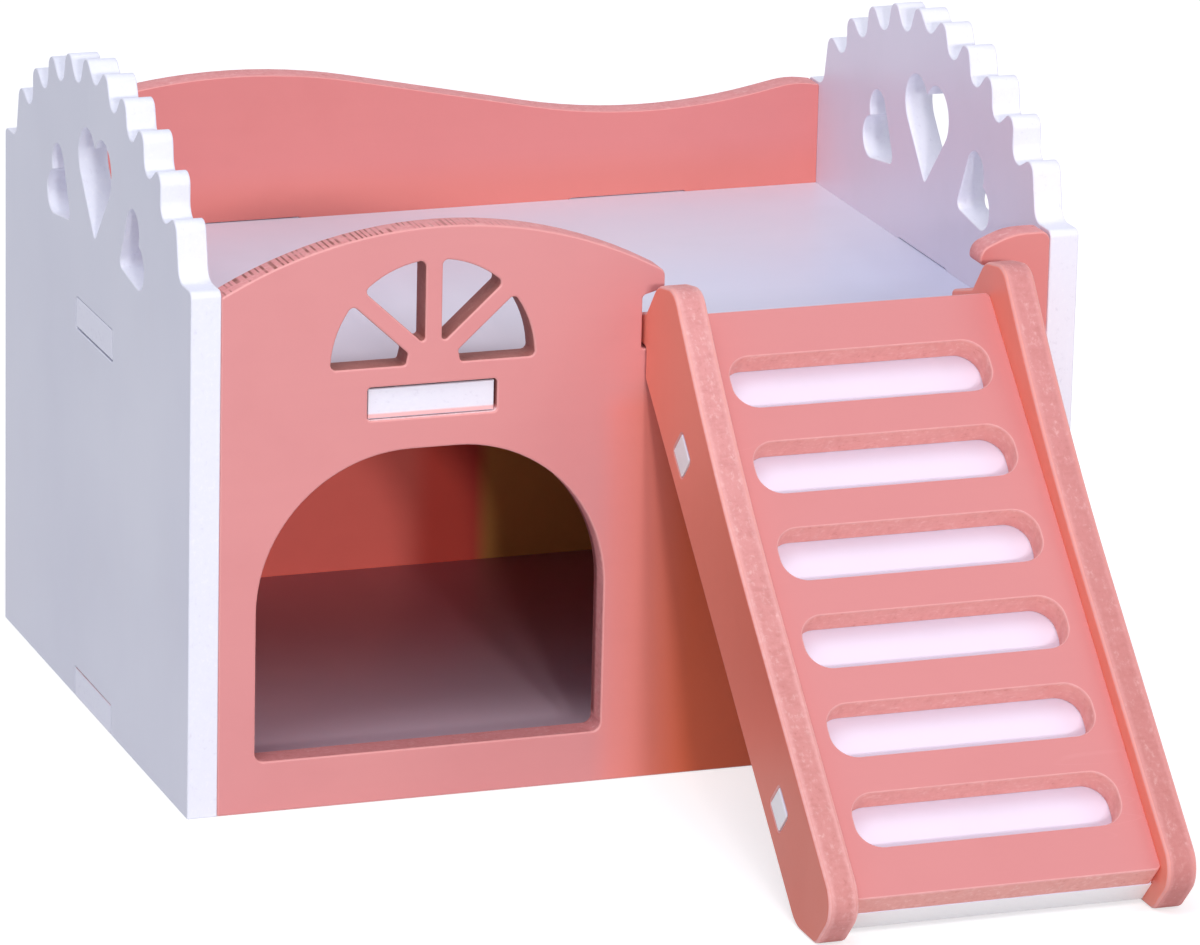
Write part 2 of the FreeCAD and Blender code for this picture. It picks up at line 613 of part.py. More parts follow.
def ladder_backing_board():
    """Plain board under the tread, with tabs through both rails."""
    board = sloped_block(LADDER_X - RAIL_INNER, LADDER_INNER_WIDTH, TREAD_START_S,
                         board_end_s(), BACKING_BOTTOM_N, BACKING_TOP_N)
    for s in backing_tab_places():
        board = board.fuse(sloped_block(LADDER_X - RAIL_OUTER, 2 * RAIL_OUTER,
                                        s - BACKING_TAB_WIDTH / 2, s + BACKING_TAB_WIDTH / 2,
                                        BACKING_BOTTOM_N, BACKING_TOP_N))
    return board.removeSplitter()


def build():
    """All pieces by node name."""
    return {
        "left_side_panel": side_panel(-HALF_WIDTH),
        "right_side_panel": side_panel(INNER_X),
        "front_panel": front_panel(),
        "back_panel": back_panel(),
        "terrace_deck": terrace_deck(),
        "floor_board": floor_board(),
        "ladder_left_rail": ladder_rail(LADDER_X - RAIL_OUTER),
        "ladder_right_rail": ladder_rail(LADDER_X + RAIL_INNER),
        "ladder_tread_board": ladder_tread_board(),
        "ladder_backing_board": ladder_backing_board(),
    }


os.makedirs("parts", exist_ok=True)
for node, shape in build().items():
    shape.exportStep("parts/" + node + ".step")
    box = shape.BoundBox
    print(f"{node}: {len(shape.Solids)} solid, valid {shape.isValid()}, {shape.Volume:.0f} mm3,"
          f" x {box.XMin:.2f}..{box.XMax:.2f} y {box.YMin:.2f}..{box.YMax:.2f}"
          f" z {box.ZMin:.2f}..{box.ZMax:.2f}")
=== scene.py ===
"""Looks of a wooden hamster house with a slotted ladder: paint, cut edges, floor, lights, camera.

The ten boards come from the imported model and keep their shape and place. Each sub-assembly is a
class that softens the rims of its boards and dresses them, each finish is a small frozen class,
and what several finishes share is a shader node group. Lengths are metres in the model's own
frame, apart from the millimetres of the patches of colour.
"""

import logging
import math
from dataclasses import dataclass, field, replace
from enum import Enum

import bpy
import numpy as np
from mathutils import Matrix, Vector

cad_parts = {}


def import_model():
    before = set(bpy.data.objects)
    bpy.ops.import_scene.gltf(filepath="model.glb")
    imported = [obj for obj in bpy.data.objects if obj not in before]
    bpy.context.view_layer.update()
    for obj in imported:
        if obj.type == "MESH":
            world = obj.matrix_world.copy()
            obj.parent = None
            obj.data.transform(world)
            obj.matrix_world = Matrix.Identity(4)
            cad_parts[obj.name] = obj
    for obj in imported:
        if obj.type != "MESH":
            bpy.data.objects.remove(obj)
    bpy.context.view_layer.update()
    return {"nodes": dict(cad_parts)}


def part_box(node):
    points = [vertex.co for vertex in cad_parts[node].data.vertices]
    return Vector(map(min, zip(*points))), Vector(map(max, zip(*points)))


LOG = logging.getLogger("hamster_house")

Point = tuple[float, float, float]
Colour = tuple[float, float, float]
Span = tuple[float, float]
Socket = bpy.types.NodeSocket
Value = float | Colour | Socket

MM = 0.001
SHEET = 5.0 * MM
LADDER_SLOPE = math.radians(43.0)
WHITE = (1.0, 1.0, 1.0)
WARM_WHITE = (1.0, 0.985, 0.97)


def srgb(red: int, green: int, blue: int) -> Colour:
    """Turns the screen values of a paint chip into the linear colour that a shader wants.

    Args:
        red: Red, from 0 to 255.
        green: Green, from 0 to 255.
        blue: Blue, from 0 to 255.

    Returns:
        The linear colour: each share of 255 is divided by 12.92 near black, and elsewhere has
        0.055 added, is divided by 1.055 and raised to the power 2.4.
    """
    share = np.array([red, green, blue]) / 255.0
    linear = np.where(share <= 0.04045, share / 12.92, ((share + 0.055) / 1.055) ** 2.4)
    return tuple(float(c) for c in linear)


def tint_from(coat: Colour, wanted: Colour) -> Colour:
    """Finds the colour that a coat must be multiplied by to give the wanted one."""
    return tuple(w / c for w, c in zip(wanted, coat))


class Facing(Enum):
    """Which way the two broad faces of a board look."""

    SIDE = ("side", (1.0, 0.0, 0.0), (0.0, -math.pi / 2, 0.0))
    WALL = ("wall", (0.0, 1.0, 0.0), (math.pi / 2, 0.0, 0.0))
    LEVEL = ("level", (0.0, 0.0, 1.0), (0.0, 0.0, 0.0))
    SLOPE = ("slope", (0.0, -math.sin(LADDER_SLOPE), math.cos(LADDER_SLOPE)),
             (-LADDER_SLOPE, 0.0, 0.0))

    def __init__(self, label: str, across: Point, turn: Point) -> None:
        """Keeps what the facing stands for.

        Args:
            label: Word for it in a material's name.
            across: Unit vector through the thickness of the board.
            turn: Euler angles that turn the board's length, width and thickness to X, Y and Z.
        """
        self.label = label
        self.across = across
        self.turn = turn


@dataclass(frozen=True)
class Grain:
    """Size and character of a noise.

    Attributes:
        cells: Cells to the metre.
        detail: Octaves.
        roughness: Share of each octave that the next one keeps.
        stretch: Factor of the position along each axis, where it has one.
    """

    cells: float
    detail: float = 2.0
    roughness: float = 0.5
    stretch: Point | None = None


@dataclass(frozen=True)
class Ramp:
    """Ramp from one number to another, flat past both of its ends.

    Attributes:
        low: Input that gives to_low.
        high: Input that gives to_high.
        to_low: Result at low.
        to_high: Result at high.
        smooth: Whether both ends are eased.
    """

    low: float
    high: float
    to_low: float = 0.0
    to_high: float = 1.0
    smooth: bool = False


class Wiring:
    """Adds nodes to one shader tree and joins their sockets."""

    def __init__(self, tree: bpy.types.NodeTree) -> None:
        """Starts on a tree that holds no nodes."""
        self.tree = tree

    def add(self, kind: str, values: dict[str | int, Value] | None = None,
            **settings: object) -> bpy.types.Node:
        """Adds one node.

        Args:
            kind: Node type without its "ShaderNode" start.
            values: Values of its inputs, by name or number.
            **settings: Properties of the node, by name.

        Returns:
            The new node.
        """
        node = self.tree.nodes.new("ShaderNode" + kind)
        for name, setting in settings.items():
            setattr(node, name, setting)
        for name, value in (values or {}).items():
            self.feed(node.inputs[name], value)
        return node

    def feed(self, socket: Socket, value: Value) -> None:
        """Joins a socket to another one, or sets it to a number, vector or colour.

        Args:
            socket: Input that takes the value.
            value: Output socket, number, or three numbers.
        """
        if isinstance(value, bpy.types.NodeSocket):
            self.tree.links.new(value, socket)
        elif isinstance(value, tuple) and socket.type == "RGBA":
            socket.default_value = (*value, 1.0)
        else:
            socket.default_value = value

    def maths(self, operation: str, first: Value, second: Value = 0.0,
              third: Value = 0.0) -> Socket:
        """Adds a Math node with one to three numbers, and gives its result."""
        return self.add("Math", {0: first, 1: second, 2: third}, operation=operation).outputs[0]

    def times(self, first: Value, second: Value) -> Socket:
        """Multiplies two numbers."""
        return self.maths("MULTIPLY", first, second)

    def spread(self, value: Value, ramp: Ramp) -> Socket:
        """Adds a clamped Map Range node.

        Args:
            value: Number to map.
            ramp: Ramp that it follows.

        Returns:
            The result's socket.
        """
        node = self.add("MapRange", {
            "Value": value,
            "From Min": ramp.low,
            "From Max": ramp.high,
            "To Min": ramp.to_low,
            "To Max": ramp.to_high,
        }, interpolation_type="SMOOTHSTEP" if ramp.smooth else "LINEAR")
        return node.outputs["Result"]

    def noise(self, place: Socket, grain: Grain) -> Socket:
        """Adds a 3-D noise.

        Args:
            place: Position that the noise reads.
            grain: Its size and character.

        Returns:
            The noise's socket, about 0.5 on average.
        """
        if grain.stretch:
            place = self.vectors("MULTIPLY", place, grain.stretch)
        node = self.add("TexNoise", {
            "Vector": place,
            "Scale": grain.cells,
            "Detail": grain.detail,
            "Roughness": grain.roughness,
        })
        return node.outputs["Fac"]

    def vectors(self, operation: str, first: Value, second: Value) -> Socket:
        """Adds a Vector Math node with two vectors, and gives the resulting vector."""
        return self.add("VectorMath", {0: first, 1: second}, operation=operation).outputs["Vector"]

    def dot(self, first: Value, second: Value) -> Socket:
        """Gives the dot product of two vectors."""
        node = self.add("VectorMath", {0: first, 1: second}, operation="DOT_PRODUCT")
        return node.outputs["Value"]

    def axes(self, vector: Socket) -> tuple[Socket, Socket, Socket]:
        """Takes a vector apart into its X, Y and Z."""
        return tuple(self.add("SeparateXYZ", {0: vector}).outputs)

    def mix(self, share: Value, first: Value, second: Value, blend: str = "MIX") -> Socket:
        """Mixes two colours.

        Args:
            share: Share of the second colour.
            first: First colour.
            second: Second colour.
            blend: Blender's name of the blend.

        Returns:
            The mixed colour's socket.
        """
        node = self.add("Mix", data_type="RGBA", blend_type=blend)
        for name, value in zip(("Factor_Float", "A_Color", "B_Color"), (share, first, second)):
            socket = next(s for s in node.inputs if s.identifier == name)
            self.feed(socket, value)
        return next(s for s in node.outputs if s.identifier == "Result_Color")

    def layer(self, below: Value, above: Value, mask: Socket, share: float) -> Socket:
        """Lays one colour over another by a share of a mask."""
        return self.mix(self.times(mask, share), below, above)

    def effect(self, effect: "Effect", **values: Value) -> bpy.types.Node:
        """Places a shared effect, with the values of its inputs by name."""
        return self.add("Group", values, node_tree=effect.group())


def empty_tree(owner: bpy.types.Material | bpy.types.World) -> Wiring:
    """Gives a new material or world a tree without nodes.

    Args:
        owner: The material or world.

    Returns:
        The wiring of its tree.
    """
    owner.use_nodes = True
    owner.node_tree.nodes.clear()
    return Wiring(owner.node_tree)


class Effect:
    """A shader node group that several materials use, built once."""

    title = ""
    inputs: dict[str, str] = {}
    outputs: tuple[str, ...] = ()

    def group(self) -> bpy.types.NodeTree:
        """Gives the node group, and builds it the first time."""
        return bpy.data.node_groups.get(self.title) or self._new_group()

    def _new_group(self) -> bpy.types.NodeTree:
        """Makes the group's sockets, then lets the effect fill it.

        Returns:
            The new node group.
        """
        tree = bpy.data.node_groups.new(self.title, "ShaderNodeTree")
        for name, kind in self.inputs.items():
            tree.interface.new_socket(name, in_out="INPUT", socket_type="NodeSocket" + kind)
        for name in self.outputs:
            tree.interface.new_socket(name, in_out="OUTPUT", socket_type="NodeSocketFloat")
        source = tree.nodes.new("NodeGroupInput")
        target = tree.nodes.new("NodeGroupOutput")
        wiring = Wiring(tree)
        given = {name: source.outputs[name] for name in self.inputs}
        for name, result in self.fill(wiring, given).items():
            wiring.feed(target.inputs[name], result)
        return tree

    def fill(self, wiring: Wiring, given: dict[str, Socket]) -> dict[str, Socket]:
        """Adds the effect's nodes to the group's tree, and gives what each output shows."""
        raise NotImplementedError


class SheetSides(Effect):
    """Tells a board's cut edges, and the soft rims beside them, from its broad faces."""

    title = "sheet sides"
    inputs = {"Across": "Vector"}
    outputs = ("Cut", "Rim")
    face = Ramp(0.86, 0.985, smooth=True)
    cut = Ramp(0.12, 0.42, 1.0, 0.0, smooth=True)
    rim = Ramp(0.0, 1.0)

    def fill(self, wiring: Wiring, given: dict[str, Socket]) -> dict[str, Socket]:
        """Compares the surface's normal with the direction through the board.

        Args:
            wiring: The group's tree.
            given: Across, the unit vector through the board.

        Returns:
            Cut near 1 where the two are square, Rim for what lies between that and a face.
        """
        normal = wiring.add("TexCoord").outputs["Normal"]
        along = wiring.maths("ABSOLUTE", wiring.dot(normal, given["Across"]))
        cut = wiring.spread(along, self.cut)
        both = wiring.maths("ADD", wiring.spread(along, self.face), cut)
        rim = wiring.spread(wiring.maths("SUBTRACT", 1.0, both), self.rim)
        return {"Cut": cut, "Rim": rim}


class PaintClouds(Effect):
    """Uneven cover of a rolled coat: broad clouds, faint streaks along the board, orange peel."""

    title = "paint clouds"
    inputs = {"Place": "Vector"}
    outputs = ("Clouds", "Streaks", "Skin")
    clouds = Grain(26.0, 3.0, 0.55)
    streaks = Grain(420.0, 3.0, stretch=(0.06, 1.0, 1.0))
    skin = Grain(1100.0, 2.0, 0.45)
    cover = Ramp(0.3, 0.7)

    def fill(self, wiring: Wiring, given: dict[str, Socket]) -> dict[str, Socket]:
        """Adds noises of three sizes.

        Args:
            wiring: The group's tree.
            given: Place, a position in the board's own axes.

        Returns:
            Clouds and Streaks from 0 to 1, and Skin, the height of the roller's orange peel.
        """
        place = given["Place"]
        return {
            "Clouds": wiring.spread(wiring.noise(place, self.clouds), self.cover),
            "Streaks": wiring.spread(wiring.noise(place, self.streaks), self.cover),
            "Skin": wiring.noise(place, self.skin),
        }


class CutFibres(Effect):
    """Sawn fibreboard under paint: pale flecks, dark pits, fine saw lines and a furry height."""

    title = "cut fibres"
    inputs = {"Place": "Vector"}
    outputs = ("Flecks", "Pits", "Saw", "Height")
    fur = Grain(1500.0, 4.0, 0.7, stretch=(0.7, 0.7, 1.0))
    lumps = Grain(620.0, 2.0, 0.6, stretch=(0.7, 0.7, 1.0))
    lines = Grain(1400.0, 3.0, stretch=(1.0, 1.0, 0.4))
    blotches = Grain(260.0, 3.0)
    fleck_ramps = (Ramp(0.5, 0.66), Ramp(0.38, 0.62))
    pit_ramps = (Ramp(0.46, 0.34), Ramp(0.5, 0.36))
    saw_ramps = (Ramp(0.36, 0.64), Ramp(0.36, 0.6))
    lump_height = 0.8

    def fill(self, wiring: Wiring, given: dict[str, Socket]) -> dict[str, Socket]:
        """Adds fine noises, a little longer along the board, and one drawn out through it.

        Each mask is the product of two noises, each on its own ramp.

        Args:
            wiring: The group's tree.
            given: Place, a position in the board's own axes.

        Returns:
            Flecks, Pits and Saw from 0 to 1, and Height for a bump.
        """
        fur, lumps, lines, blotches = (wiring.noise(given["Place"], grain) for grain in (
            self.fur, self.lumps, self.lines, self.blotches))
        masks = {
            name: wiring.times(wiring.spread(first, ramps[0]), wiring.spread(second, ramps[1]))
            for name, first, second, ramps in (("Flecks", fur, lumps, self.fleck_ramps),
                                               ("Pits", fur, lumps, self.pit_ramps),
                                               ("Saw", lines, blotches, self.saw_ramps))
        }
        height = wiring.maths("ADD", fur, wiring.times(lumps, self.lump_height))
        return {**masks, "Height": height}


class CutterChatter(Effect):
    """Row of little dark nicks that a shaking cutter left across a stretch of a cut edge."""

    title = "cutter chatter"
    inputs = {"Place": "Vector", "Start": "Float", "End": "Float", "Above": "Float",
              "Pitch": "Float"}
    outputs = ("Nicks",)
    waver = Grain(260.0, 2.0, stretch=(1.0, 0.0, 0.0))
    waver_turns = 3.0
    patchiness = Grain(330.0, 1.0)
    patchy = Ramp(0.36, 0.6)
    nick = Ramp(0.1, 0.95, smooth=True)
    start = Ramp(0.0, 0.04)
    end = Ramp(1.0, 0.45)
    upward = Ramp(0.3, 0.6)

    def fill(self, wiring: Wiring, given: dict[str, Socket]) -> dict[str, Socket]:
        """Repeats a nick along X at a pitch that a noise makes uneven, and fades out the ends.

        Args:
            wiring: The group's tree.
            given: Place in the model's axes, Start and End of the row along X, the height that
                it is Above, and the Pitch.

        Returns:
            Nicks from 0 to 1, on edges that look up.
        """
        place = given["Place"]
        along, _, height = wiring.axes(place)
        waver = wiring.times(wiring.noise(place, self.waver), self.waver_turns)
        turns = wiring.maths("ADD", wiring.maths("DIVIDE", along, given["Pitch"]), waver)
        beat = wiring.maths("SINE", wiring.times(turns, 2 * math.pi))
        patchy = wiring.spread(wiring.noise(place, self.patchiness), self.patchy)
        length = wiring.maths("SUBTRACT", given["End"], given["Start"])
        share = wiring.maths("DIVIDE", wiring.maths("SUBTRACT", along, given["Start"]), length)
        inside = wiring.times(wiring.spread(share, self.start), wiring.spread(share, self.end))
        row = wiring.times(wiring.times(wiring.spread(beat, self.nick), inside), patchy)
        upward = wiring.axes(wiring.add("TexCoord").outputs["Normal"])[2]
        high = wiring.maths("GREATER_THAN", height, given["Above"])
        top = wiring.times(high, wiring.spread(upward, self.upward))
        return {"Nicks": wiring.times(row, top)}


class EdgeBand(Effect):
    """Finds the ragged bands of painted highlight along both sides of a board's cut edge."""

    title = "edge band"
    inputs = {"Place": "Vector", "Across": "Vector", "Middle": "Float", "Width": "Float"}
    outputs = ("Band",)
    ragged = Grain(900.0, 3.0)
    raggedness = 0.5
    band = Ramp(1.65, 0.8, smooth=True)

    def fill(self, wiring: Wiring, given: dict[str, Socket]) -> dict[str, Socket]:
        """Measures how deep the place is under the nearer broad face, in widths of the band.

        Args:
            wiring: The group's tree.
            given: Place in the model's axes, Across the board, where its Middle is, and the
                band's Width.

        Returns:
            Band from 0 to 1.
        """
        across = wiring.dot(given["Place"], given["Across"])
        offset = wiring.maths("ABSOLUTE", wiring.maths("SUBTRACT", across, given["Middle"]))
        under = wiring.maths("SUBTRACT", SHEET / 2, offset)
        depth = wiring.maths("DIVIDE", under, given["Width"])
        noise = wiring.noise(given["Place"], self.ragged)
        ragged = wiring.maths("MULTIPLY_ADD", noise, self.raggedness, depth)
        return {"Band": wiring.spread(ragged, self.band)}


class HandlingMarks(Effect):
    """Faint smudges and short hair scratches that handling leaves on a pale coat."""

    title = "handling marks"
    inputs = {"Place": "Vector"}
    outputs = ("Smudges", "Scratches")
    blotches = Grain(55.0, 4.0, 0.6)
    hairs = Grain(160.0, 1.0, stretch=(0.12, 1.0, 1.0))
    thinning = Grain(75.0)
    smudge = Ramp(0.5, 0.75, smooth=True)
    hair_level = 0.5
    hair = Ramp(0.004, 0.0)
    sparse = Ramp(0.56, 0.64)

    def fill(self, wiring: Wiring, given: dict[str, Socket]) -> dict[str, Socket]:
        """Adds a soft blotch noise, and thin lines where a stretched noise crosses a level.

        Args:
            wiring: The group's tree.
            given: Place, a position in the board's own axes.

        Returns:
            Smudges and Scratches from 0 to 1.
        """
        place = given["Place"]
        hairs = wiring.maths("SUBTRACT", wiring.noise(place, self.hairs), self.hair_level)
        line = wiring.spread(wiring.maths("ABSOLUTE", hairs), self.hair)
        sparse = wiring.spread(wiring.noise(place, self.thinning), self.sparse)
        return {
            "Smudges": wiring.spread(wiring.noise(place, self.blotches), self.smudge),
            "Scratches": wiring.times(line, sparse),
        }


class SoftBox(Effect):
    """Tells the inside of a box with soft sides from the outside."""

    title = "soft box"
    inputs = {"Place": "Vector", "Low": "Vector", "High": "Vector", "Soft": "Vector"}
    outputs = ("Inside",)
    side = Ramp(-0.5, 0.5, smooth=True)

    def fill(self, wiring: Wiring, given: dict[str, Socket]) -> dict[str, Socket]:
        """Finds how far the place is from the nearer side on each axis, and joins the ramps.

        Args:
            wiring: The group's tree.
            given: Place, the box's Low and High corners, and Soft, the width of the ramps of
                its sides along each axis.

        Returns:
            Inside from 0 to 1, the product of the three ramps.
        """
        past_low = wiring.vectors("SUBTRACT", given["Place"], given["Low"])
        to_high = wiring.vectors("SUBTRACT", given["High"], given["Place"])
        nearer = wiring.vectors("MINIMUM", past_low, to_high)
        depths = wiring.axes(wiring.vectors("DIVIDE", nearer, given["Soft"]))
        x, y, z = (wiring.spread(depth, self.side) for depth in depths)
        return {"Inside": wiring.times(wiring.times(x, y), z)}


@dataclass(frozen=True)
class ChatterRow:
    """Where a row of cutter nicks runs along an edge that looks up.

    Attributes:
        start: Start of the row in the model's X.
        end: End of the row in the model's X.
        above: Height that the whole row is above.
        pitch: From nick to nick.
        colour: Colour of a nick.
    """

    start: float
    end: float
    above: float
    pitch: float = 1.0 * MM
    colour: Colour = srgb(140, 78, 70)


class Part(Enum):
    """Which surfaces of a board a patch of colour lies on."""

    FACE = "face"
    CUT = "cut"


# Width of the sides of a patch that ends sharply, in millimetres.
SHARP = 0.4


@dataclass(frozen=True)
class Patch:
    """A stretch of painted light and shade on a board, tinted into its colour, in millimetres.

    Attributes:
        tint: Colour that the coat is multiplied by.
        x: Where it starts and ends along X.
        y: Where it starts and ends along Y.
        z: Where it starts and ends along Z.
        soft: Width of its soft sides along each axis.
        part: Surfaces that it lies on.
    """

    tint: Colour
    x: Span
    y: Span
    z: Span
    soft: Point = (SHARP, SHARP, SHARP)
    part: Part = Part.FACE

    def over(self, wiring: Wiring, place: Socket, colour: Socket) -> Socket:
        """Lays the patch over a colour.

        Args:
            wiring: The material's tree.
            place: Position in the model's axes.
            colour: Colour of the coat without the patch.

        Returns:
            The colour with the patch.
        """
        low, high, soft = (tuple(side * MM for side in corner)
                           for corner in (*zip(self.x, self.y, self.z), self.soft))
        box = wiring.effect(SoftBox(), Place=place, Low=low, High=high, Soft=soft)
        return wiring.mix(box.outputs["Inside"], colour, self.tint, blend="MULTIPLY")


@dataclass(frozen=True)
class BoardFinish:
    """Finish of a painted board: its broad faces, its cut edges and the soft rims between them.

    Attributes:
        title: Name of the material.
        face: Colour of the broad faces.
        cloud: Colour that the paint's clouds and streaks tend to.
        cut: Colour of the cut edges.
        fleck: Colour of the pale flecks on the cut edges.
        pit: Colour of the dark pits and saw lines on the cut edges.
        rim: Colour of the pale rims, a painted highlight along the rounded rims; the scratches
            take it too.
        smudge: Colour of the smudges.
        cloud_share: Share of the clouds' colour where they are full.
        streak_part: The same for the streaks, as a part of the clouds' share.
        smudge_share: Share of the smudges' colour where they are full.
        scratch_part: The same for the scratches, as a part of the smudges' share.
        rim_share: Share of the rims' colour where the painted highlight is strongest.
        highlight_least: Least part of that share, where the fibres lie low.
        highlight_heights: Heights of the fibres with the least and the full share.
        fleck_share: Share of the flecks' colour.
        pit_share: Share of the pits' colour.
        saw_share: Share of the pits' colour in the saw lines.
        face_roughness: Roughness of the broad faces, on average.
        roughness_spread: How much the clouds change it.
        cut_roughness: Roughness of the cut edges.
        specular: Specular level of the coat.
        skin_depth: Height of the roller's orange peel.
        fibre_depth: Height of the fibres on the cut edges.
        rim_radius: How far the rims are sanded round.
        band: Width of the band of painted highlight along both sides of a cut edge.
        band_share: Share of the rims' colour in the band.
        row: Row of cutter nicks, where the board has one.
        patches: Stretches of painted light and shade, tinted over the coat.
    """

    title: str
    face: Colour
    cloud: Colour
    cut: Colour
    fleck: Colour
    pit: Colour
    rim: Colour
    smudge: Colour
    cloud_share: float = 0.5
    streak_part: float = 0.25
    smudge_share: float = 0.15
    scratch_part: float = 0.5
    rim_share: float = 0.6
    highlight_least: float = 0.55
    highlight_heights: Span = (0.5, 1.1)
    fleck_share: float = 0.8
    pit_share: float = 0.6
    saw_share: float = 0.25
    face_roughness: float = 0.42
    roughness_spread: float = 0.08
    cut_roughness: float = 0.7
    specular: float = 0.5
    skin_depth: float = 0.012 * MM
    fibre_depth: float = 0.05 * MM
    rim_radius: float = 0.35 * MM
    band: float = 0.0
    band_share: float = 0.5
    row: ChatterRow | None = None
    patches: tuple[Patch, ...] = ()

    def material(self, facing: Facing, middle: float) -> bpy.types.Material:
        """Builds the finish for boards that face one way.

        Args:
            facing: Which way the broad faces look.
            middle: Where the middle of the board's thickness is along that way.

        Returns:
            The material.
        """
        title = f"{self.title}, {facing.label}" + (f" at {middle / MM:.0f}" if self.band else "")
        made = bpy.data.materials.get(title)
        if made:
            return made
        made = bpy.data.materials.new(title)
        self._wire(empty_tree(made), facing, middle)
        return made

    def _wire(self, wiring: Wiring, facing: Facing, middle: float) -> None:
        """Joins the shared effects to one Principled shader.

        Args:
            wiring: The material's tree.
            facing: Which way the broad faces look.
            middle: Where the middle of the board's thickness is.
        """
        place = wiring.add("TexCoord").outputs["Object"]
        turned = wiring.add("Mapping", {"Vector": place, "Rotation": facing.turn})
        own = turned.outputs["Vector"]
        sides = wiring.effect(SheetSides(), Across=facing.across)
        paint = wiring.effect(PaintClouds(), Place=own)
        fibres = wiring.effect(CutFibres(), Place=own)

        face = self._broad_face(wiring, paint, wiring.effect(HandlingMarks(), Place=own))
        # Painted light and shade on the broad faces.
        face = self._patched(wiring, place, face, Part.FACE)
        cut = self._cut_edge(wiring, fibres, place)
        # Painted highlight: a ragged pale band along both sides of the cut edge.
        if self.band:
            bands = wiring.effect(EdgeBand(), Place=place, Across=facing.across, Middle=middle,
                                  Width=self.band)
            cut = wiring.layer(cut, self.rim, bands.outputs["Band"], self.band_share)
        colour = wiring.mix(sides.outputs["Cut"], face, cut)
        # Painted highlight: the pale rim colour along the rounded rims, stronger where the fibres
        # stand high.
        highlight_ramp = Ramp(*self.highlight_heights, self.highlight_least * self.rim_share, self.rim_share)
        rim_highlight = wiring.times(sides.outputs["Rim"], wiring.spread(fibres.outputs["Height"], highlight_ramp))
        colour = wiring.mix(rim_highlight, colour, self.rim)
        lowest = self.face_roughness - self.roughness_spread / 2
        rough = wiring.maths("MULTIPLY_ADD", paint.outputs["Clouds"], self.roughness_spread,
                             lowest)
        rough = wiring.maths("MULTIPLY_ADD", sides.outputs["Cut"],
                             self.cut_roughness - self.face_roughness, rough)

        shader = wiring.add("BsdfPrincipled", {
            "Base Color": colour,
            "Roughness": rough,
            "Specular IOR Level": self.specular,
            "Normal": self._relief(wiring, sides, paint, fibres),
        })
        wiring.add("OutputMaterial", {"Surface": shader.outputs["BSDF"]})

    def _broad_face(self, wiring: Wiring, paint: bpy.types.Node,
                    marks: bpy.types.Node) -> Socket:
        """Colours the broad faces.

        Args:
            wiring: The material's tree.
            paint: The paint clouds.
            marks: The handling marks.

        Returns:
            The colour.
        """
        colour = self.face
        for above, mask, share in (
            (self.cloud, paint.outputs["Clouds"], self.cloud_share),
            (self.cloud, paint.outputs["Streaks"], self.streak_part * self.cloud_share),
            (self.smudge, marks.outputs["Smudges"], self.smudge_share),
            (self.rim, marks.outputs["Scratches"], self.scratch_part * self.smudge_share),
        ):
            colour = wiring.layer(colour, above, mask, share)
        return colour

    def _cut_edge(self, wiring: Wiring, fibres: bpy.types.Node, place: Socket) -> Socket:
        """Colours the cut edges.

        Args:
            wiring: The material's tree.
            fibres: The cut fibres.
            place: Position in the model's axes.

        Returns:
            The colour.
        """
        colour = wiring.layer(self.cut, self.fleck, fibres.outputs["Flecks"], self.fleck_share)
        colour = wiring.layer(colour, self.pit, fibres.outputs["Pits"], self.pit_share)
        colour = wiring.layer(colour, self.pit, fibres.outputs["Saw"], self.saw_share)
        if self.row:
            nicks = wiring.effect(CutterChatter(), Place=place, Start=self.row.start,
                                  End=self.row.end, Above=self.row.above, Pitch=self.row.pitch)
            colour = wiring.mix(nicks.outputs["Nicks"], colour, self.row.colour)
        # Painted light and shade on the cut edges.
        return self._patched(wiring, place, colour, Part.CUT)

    def _patched(self, wiring: Wiring, place: Socket, colour: Socket, part: Part) -> Socket:
        """Lays the finish's patches of painted light and shade over a colour.

        Args:
            wiring: The material's tree.
            place: Position in the model's axes.
            colour: Colour of the coat.
            part: Surfaces that the colour is for.

        Returns:
            The colour with the patches.
        """
        for patch in self.patches:
            if patch.part is part:
                colour = patch.over(wiring, place, colour)
        return colour

    def _relief(self, wiring: Wiring, sides: bpy.types.Node, paint: bpy.types.Node,
                fibres: bpy.types.Node) -> Socket:
        """Bumps the coat: orange peel on the faces, fibres on the cut edges.

        Args:
            wiring: The material's tree.
            sides: The sheet sides.
            paint: The paint clouds.
            fibres: The cut fibres.

        Returns:
            The bumped normal.
        """
        peel = wiring.times(paint.outputs["Skin"], self.skin_depth)
        fur = wiring.times(fibres.outputs["Height"], self.fibre_depth)
        fur = wiring.times(fur, sides.outputs["Cut"])
        height = wiring.maths("ADD", peel, fur)
        bump = wiring.add("Bump", {"Strength": 1.0, "Distance": 1.0, "Height": height})
        return bump.outputs["Normal"]


# Stretches of the house in millimetres. They reach past a board where a patch has no end there.
ACROSS = (-80.0, 80.0)
FRONT_OUTSIDE = (-90.0, -52.0)
FRONT_INSIDE = (-52.0, -40.0)
FRONT_THICKNESS = (-60.0, -40.0)
BACK_INSIDE = (40.0, 52.0)
ROOM = (-5.0, 66.0)
LADDER_END = (-230.0, -100.0)
LADDER_HEIGHT = (-20.0, 120.0)
DECK_HEIGHT = (40.0, 100.0)

PINK_PAINT = BoardFinish(
    title="pink paint",
    face=srgb(224, 147, 146),
    cloud=srgb(215, 137, 139),
    cut=srgb(228, 150, 150),
    fleck=srgb(243, 186, 184),
    pit=srgb(196, 112, 108),
    rim=srgb(240, 172, 168),
    smudge=srgb(208, 128, 126),
)

